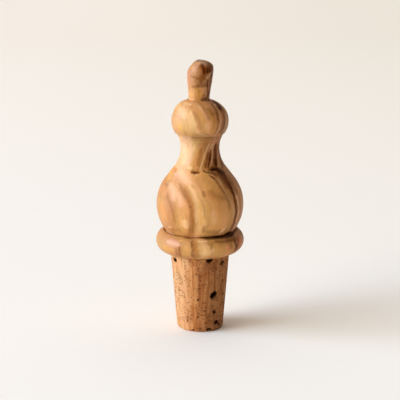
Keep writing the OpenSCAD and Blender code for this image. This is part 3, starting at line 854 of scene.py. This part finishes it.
def addStreaks(kinds, s):
    chance = random.Random(s["seed"])
    laid = {kind: list(strokes) for kind, strokes in kinds.items()}
    for low, high, number in s["zones"]:
        for i in range(number):
            kind = chance.choices(list(s["shares"]), list(s["shares"].values()))[0]
            turn = chance.uniform(*s["turns"])
            start = chance.uniform(low, low + s["startsWithin"] * (high - low))
            end = chance.uniform(start + s["shortest"] * (high - low), high)
            bend = chance.gauss(0, s["slant"])
            waist = turn + 0.5 * bend + chance.gauss(0, s["sway"])
            corners = [(turn, start), (waist, (start + end) / 2), (turn + bend, end)]
            laid[kind].append((corners, chance.uniform(*s["halfWidths"]), chance.uniform(*s["strengths"])))
    return laid


headPiece = turnPiece("oliveWoodHead", headOutline(head), head, oliveWood)
addTip(headPiece, tip)
paintStrokes(headPiece.data, addStreaks(headMarks, backStreaks), head["marksFrom"], brush)
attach(headPiece, "root")
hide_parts("turned_head")
print("head turned, with its whittled tip:", len(headPiece.data.polygons), "faces")


cork = {
    # in mm, with room round the spigot and below it
    "smallRadius": 9.5, "largeRadius": 12.15, "length": head["collarFoot"], "bevel": 0.6,
    "boreRadius": head["spigotRadius"] + 0.1, "boreDepth": head["spigotLength"] + 1.5,
    # points along each stretch of the outline: the foot, its bevel, the side, the top, the bore and its end
    "steps": (36, 4, 165, 12, 8, 3), "sides": 384, "creaseAngle": 0.6, "mergeGap": 0.002, "marksFrom": -1,
    "pores": {"Density": 90000, "Seed": 4},
    "poreSizes": {"Smallest": 0.16, "Largest": 0.7, "Depth": 0.5, "Ragged": 0.6,  # in mm
                  "Thin From": -4, "Thin To": 5},
    "poreShape": {"bigOnesRare": 4.0, "fewest": 0.1, "raggedDetail": 1200.0, "edge": (0.55, 1.15)},
}


def corkOutline(c):
    # from the middle of the foot, up the side and over the top, to the bore's blind end
    slope = (c["largeRadius"] - c["smallRadius"]) / c["length"]
    bevelTop = (c["smallRadius"] + slope * c["bevel"], c["bevel"])
    blindEnd = c["length"] - c["boreDepth"]
    corners = [(0, 0), (bevelTop[0] - c["bevel"], 0), bevelTop, (c["largeRadius"], c["length"]),
               (c["boreRadius"], c["length"]), (c["boreRadius"], blindEnd), (0, blindEnd)]
    points = []
    for start, end, steps in zip(corners, corners[1:], c["steps"]):
        points += linePoints(start, end, steps)
    return points + [corners[-1]]


def poreTree(shape):
    # scatters pores over the cork: each sinks the surface round a random point and is written as an attribute
    numbers = ("Density", "Smallest", "Largest", "Depth", "Ragged", "Thin From", "Thin To")
    tree, given = startTree("corkPores", {"Cork": "Geometry", "Seed": "Int", "Finish": "Material",
                                          **{label: "Float" for label in numbers}})
    place = addNode(tree, "GeometryNodeInputPosition").outputs[0]
    sideways = addNode(tree, "ShaderNodeSeparateXYZ", None, {0: place}).outputs[1]
    density = addNode(tree, "ShaderNodeMapRange", None,
            {0: sideways, 1: given["Thin From"], 2: given["Thin To"], 3: shape["fewest"]}).outputs[0]
    density = addNode(tree, "ShaderNodeMath", multiply, {0: density, 1: given["Density"]}).outputs[0]
    pores = addNode(tree, "GeometryNodeDistributePointsOnFaces", None,
            {"Mesh": given["Cork"], "Density": density, "Seed": given["Seed"]}).outputs["Points"]
    chance = addNode(tree, "FunctionNodeRandomValue", {"data_type": "FLOAT"},
            {"Seed": given["Seed"]}).outputs[1]
    chance = addNode(tree, "ShaderNodeMath", power, {0: chance, 1: shape["bigOnesRare"]}).outputs[0]
    size = addNode(tree, "ShaderNodeMapRange", None,
            {0: chance, 3: given["Smallest"], 4: given["Largest"]}).outputs[0]
    nearest = addNode(tree, "GeometryNodeSampleNearest", {"domain": "POINT"}, {"Geometry": pores}).outputs[0]
    centre = addNode(tree, "GeometryNodeSampleIndex", asVector,
            {"Geometry": pores, "Value": place, "Index": nearest}).outputs[0]
    radius = addNode(tree, "GeometryNodeSampleIndex", {"data_type": "FLOAT"},
            {"Geometry": pores, "Value": size, "Index": nearest}).outputs[0]
    ragged = addNode(tree, "ShaderNodeTexNoise", None,
            {"Vector": place, "Scale": shape["raggedDetail"], "Detail": 1.0}).outputs["Color"]
    ragged = addNode(tree, "ShaderNodeVectorMath", subtract, {0: ragged, 1: middle}).outputs[0]
    moved = addNode(tree, "ShaderNodeVectorMath", multiplyAdd,
            {0: ragged, 1: given["Ragged"], 2: place}).outputs[0]
    gap = addNode(tree, "ShaderNodeVectorMath", {"operation": "DISTANCE"},
            {0: moved, 1: centre}).outputs["Value"]
    share = addNode(tree, "ShaderNodeMath", divide, {0: gap, 1: radius}).outputs[0]
    low, high = shape["edge"]
    pore = addNode(tree, "ShaderNodeMapRange", smoothly,
            {0: share, 1: low, 2: high, 3: 1.0, 4: 0.0}).outputs[0]
    width = addNode(tree, "ShaderNodeMath", divide, {0: radius, 1: given["Largest"]}).outputs[0]
    sink = pore
    for factor in (width, given["Depth"], -1.0):
        sink = addNode(tree, "ShaderNodeMath", multiply, {0: sink, 1: factor}).outputs[0]
    normal = addNode(tree, "GeometryNodeInputNormal").outputs[0]
    offset = addNode(tree, "ShaderNodeVectorMath", scale, {0: normal, "Scale": sink}).outputs[0]
    marked = addNode(tree, "GeometryNodeStoreNamedAttribute", {"data_type": "FLOAT", "domain": "POINT"},
            {"Geometry": given["Cork"], "Name": "pore", "Value": pore}).outputs[0]
    sunk = addNode(tree, "GeometryNodeSetPosition", None, {"Geometry": marked, "Offset": offset}).outputs[0]
    endTree(tree, sunk, given["Finish"])
    return tree


# larger pits and specks, and painted shadow under the collar, given as the head's strokes are
corkMarks = {
    "speckAndShadow": [
        ([(10, 25.6), (12, 25.6)], 0.3, 0.9, 0.2), ([(-34, 4.5), (-30, 4.5)], 0.4, 1.2, 0.2),
        ([(49, 11), (51, 11.2)], 0.3, 0.9, 0.2), ([(43, 9), (45, 9.2)], 0.25, 0.9, 0.2),
        ([(-24, 29.8), (-23, 29.8)], 0.25, 0.7, 0.1), ([(-20, 32), (-19, 31.6)], 0.3, 0.6, 0.1),
        ([(-23, 20.7), (-22, 20.7)], 0.25, 0.8, 0.1), ([(-27, 19.7), (-25, 19.7)], 0.25, 0.7, 0.1),
        ([(-36, 21.4), (-35, 21.4)], 0.2, 0.7, 0.1), ([(-40, 18.2), (-39, 18.2)], 0.2, 0.6, 0.1),
        ([(-37, 12.6), (-35, 12.6)], 0.25, 0.7, 0.1), ([(-12, 11), (-10, 11)], 0.25, 0.7, 0.1),
        ([(-21, 7.5), (-18, 7.4)], 0.35, 1, 0.1), ([(-27, 9), (-24, 9)], 0.25, 0.7, 0.1),
        ([(55, 22.4), (57, 22.4)], 0.3, 0.8, 0.1), ([(-30, 13), (-24, 12.8)], 0.18, 0.7, 0.1),
        ([(-25, 11.3), (-18, 11.4)], 0.18, 0.6, 0.1), ([(-3, 28.6), (-1, 28)], 0.45, 0.45),
        ([(0, 22.8), (5, 22.9)], 0.4, 0.9), ([(-19, 32.4), (-21, 29.6)], 0.5, 0.6),
        ([(12, 30.6), (14, 27.6)], 0.6, 0.6), ([(52, 23), (54, 24.6)], 0.3, 0.7),
        ([(-3, 19.4), (-1, 18)], 0.4, 0.45), ([(8, 13.6), (10, 12.6)], 0.45, 0.5),
        ([(-2, 30), (-3, 24), (-2, 18), (0, 13)], 0.9, 0.3), ([(4, 29), (5, 24)], 0.5, 0.25),
        # painted shadow along the edge under the collar, and one softer streak lower down
        ([(-22, 32.5), (0, 32.4), (12, 32.4), (30, 32.5)], 0.35, 0.7),
        ([(-8, 32), (6, 30), (9, 27)], 0.9, 0.35), ([(12, 29), (20, 28), (30, 27)], 1.2, 0.3),
        ([(28, 12), (32, 6)], 1.2, 0.3), ([(14, 30.4), (24, 29), (36, 27)], 1.4, 0.3),
        # brown flecks, mostly to the right of the middle
        ([(43, 9.3), (45, 9.3)], 0.3, 1, 0.1), ([(51, 11.2), (53, 11.1)], 0.3, 1, 0.1),
        ([(59, 15.6), (63, 15.2)], 0.4, 1, 0.2), ([(56, 22.7), (58, 22.6)], 0.3, 0.9, 0.1),
        ([(53, 26.2), (54, 25.2)], 0.35, 0.8, 0.1), ([(50, 18.3), (51, 17.4)], 0.35, 0.7),
        ([(41, 6.6), (43, 6.4)], 0.3, 0.8, 0.1), ([(32, 9.4), (36, 8.2), (39, 8)], 0.9, 0.9, 0.2),
        ([(43, 29.8), (48, 28.6), (53, 27.8)], 0.45, 0.9, 0.2), ([(57, 29.6), (52, 28.6)], 0.5, 0.9, 0.2),
        ([(39, 2.4), (47, 4.6)], 0.9, 0.8, 0.2), ([(49, 3.6), (56, 1.7)], 0.6, 0.8, 0.2),
        ([(11, 25.9), (12, 25.5)], 0.35, 1.2, 0.1), ([(-22, 7.4), (-20, 7.4)], 0.35, 1, 0.1),
        ([(-11, 11.1), (-9, 11)], 0.3, 0.9, 0.1), ([(-26, 14.9), (-24, 14.8)], 0.3, 0.8, 0.1),
        ([(-3, 19.2), (-2, 18.6)], 0.35, 0.8), ([(2, 22.9), (3, 22.5)], 0.35, 0.8),
        ([(-4, 28.5), (-3, 27.9)], 0.35, 0.8), ([(-25, 29.7), (-23, 29.6)], 0.3, 0.8, 0.1),
        ([(9, 13.4), (11, 12.8)], 0.5, 0.7), ([(17, 6.8), (18, 6)], 0.35, 0.8),
    ],
    "dark": [
        ([(-66, 29.8), (-60, 30.2), (-55, 29.4)], 0.7, 1.6, 0.6),
        ([(13, 31.5), (19, 31), (26, 31.6)], 0.75, 1.4, 0.8),
        # the first stroke here is painted shadow under the collar
        ([(-6, 32.5), (14, 32.5), (34, 32.4)], 0.35, 0.5), ([(47, 29.9), (49, 28.4)], 0.55, 0.85, 0.5),
        ([(53, 30.4), (50, 28.8)], 0.55, 1.2, 0.4), ([(28, 15.6), (40, 16.6)], 1.25, 1.6, 1.1),
        ([(24, 15.3), (33, 15.7)], 1.0, 1.4, 0.8), ([(34, 8.5), (39, 8.1)], 0.7, 1, 0.4),
        ([(42, 2.9), (46, 4.2)], 0.8, 1.4, 0.6), ([(53, 1.6), (57, 2.4)], 0.5, 1, 0.5),
        ([(63, 15.2), (66, 15.4)], 0.45, 0.9, 0.4), ([(-72, 15.4), (-69, 16.4)], 0.5, 0.8, 0.4),
        ([(63, 29.6), (64, 30.4)], 0.45, 0.9, 0.5), ([(-18, 0.5), (-15, 1)], 0.5, 1, 0.5),
        ([(16, 0.7), (22, 1.1), (32, 0.6)], 0.5, 1.3, 0.6),
    ],
}

corkBlank = turnPiece("corkBlank", corkOutline(cork), cork, naturalCork)
corkPiece = runTree("taperedCork", corkBlank.data, poreTree(cork["poreShape"]),
                    {**cork["pores"], **{label: size * mm for label, size in cork["poreSizes"].items()},
                     "Finish": naturalCork})
bpy.data.objects.remove(corkBlank)
paintStrokes(corkPiece.data, corkMarks, cork["marksFrom"], brush)
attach(corkPiece, "root")
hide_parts("tapered_cork")
print("cork cut:", len(corkPiece.data.polygons), "faces")


studio = {
    # places in metres
    "floor": {"size": 6.0, "near": "#fcfcf7", "far": "#f7f2e6", "right": "#f6f6f3", "nearEdge": -0.08,
              "farEdge": 0.9, "leftEdge": -0.15, "rightEdge": 0.2, "roughness": 1.0, "sheen": 0.0},
    # each lamp is a wide soft sun: strength, then width, rise and turn from left to front in degrees, colour
    "lamps": {
        "windowLight": (4.3, 46, 20, 8, "#dceaff"),
        "frontLight": (2.9, 40, 8, 32, "#fff6ea"),
        "backLight": (1.45, 90, 60, -90, "#ffeee2"),
    },
    "roomColour": "#fff0de", "roomStrength": 0.1,
    "cameraDistance": 0.6, "cameraRise": 14, "pivotHeight": 0.056, "aimHeight": 0.0539, "lens": 131.8,
    "clip": (0.01, 20),
}


def makeFloor(f):
    # matt paper, with painted light: a little paler near the camera and towards the window
    bpy.ops.mesh.primitive_plane_add(size=f["size"])
    floor = bpy.context.object
    floor.name = "paleFloor"
    material, tree, shader = startMaterial("matt paper", f)
    place = addNode(tree, "ShaderNodeTexCoord").outputs["Object"]
    axes = addNode(tree, "ShaderNodeSeparateXYZ", None, {0: place}).outputs
    back = addNode(tree, "ShaderNodeMapRange", None,
            {0: axes[1], 1: f["nearEdge"], 2: f["farEdge"]}).outputs[0]
    side = addNode(tree, "ShaderNodeMapRange", None,
            {0: axes[0], 1: f["leftEdge"], 2: f["rightEdge"]}).outputs[0]
    colour = addNode(tree, "ShaderNodeMix", asColour,
            {0: back, 6: linearColour(f["near"]), 7: linearColour(f["far"])}).outputs[2]
    colour = addNode(tree, "ShaderNodeMix", {"data_type": "RGBA", "blend_type": "MULTIPLY"},
            {0: side, 6: colour, 7: linearColour(f["right"])}).outputs[2]
    tree.links.new(colour, shader.inputs["Base Color"])
    floor.data.materials.append(material)


def makeLights(s):
    for name, (strength, angle, rise, turn, colour) in s["lamps"].items():
        lamp = bpy.data.lights.new(name, "SUN")
        lamp.energy = strength
        lamp.angle = math.radians(angle)
        lamp.color = linearColour(colour)[:3]
        holder = bpy.data.objects.new(name, lamp)
        rise, turn = math.radians(rise), math.radians(turn)
        away = Vector((-math.cos(rise) * math.cos(turn), -math.cos(rise) * math.sin(turn), math.sin(rise)))
        holder.location = away
        holder.rotation_euler = away.to_track_quat("Z", "Y").to_euler()
        holder.visible_glossy = name != "frontLight"  # the fill light leaves no glint of its own
        bpy.context.scene.collection.objects.link(holder)
    world = bpy.data.worlds.new("room")
    world.use_nodes = True
    back = world.node_tree.nodes["Background"]
    back.inputs["Color"].default_value = linearColour(s["roomColour"])
    back.inputs["Strength"].default_value = s["roomStrength"]
    bpy.context.scene.world = world


def makeCamera(s):
    rise = math.radians(s["cameraRise"])
    lens = bpy.data.cameras.new("camera")
    lens.lens = s["lens"]
    lens.clip_start, lens.clip_end = s["clip"]
    camera = bpy.data.objects.new("camera", lens)
    camera.location = (0, -s["cameraDistance"] * math.cos(rise),
                       s["pivotHeight"] + s["cameraDistance"] * math.sin(rise))
    aim = Vector((0, 0, s["aimHeight"])) - camera.location
    camera.rotation_euler = aim.to_track_quat("-Z", "Y").to_euler()
    bpy.context.scene.collection.objects.link(camera)
    bpy.context.scene.camera = camera


makeFloor(studio["floor"])
makeLights(studio)
makeCamera(studio)
bpy.context.scene.view_settings.view_transform = "Standard"
print("floor, light and camera placed")
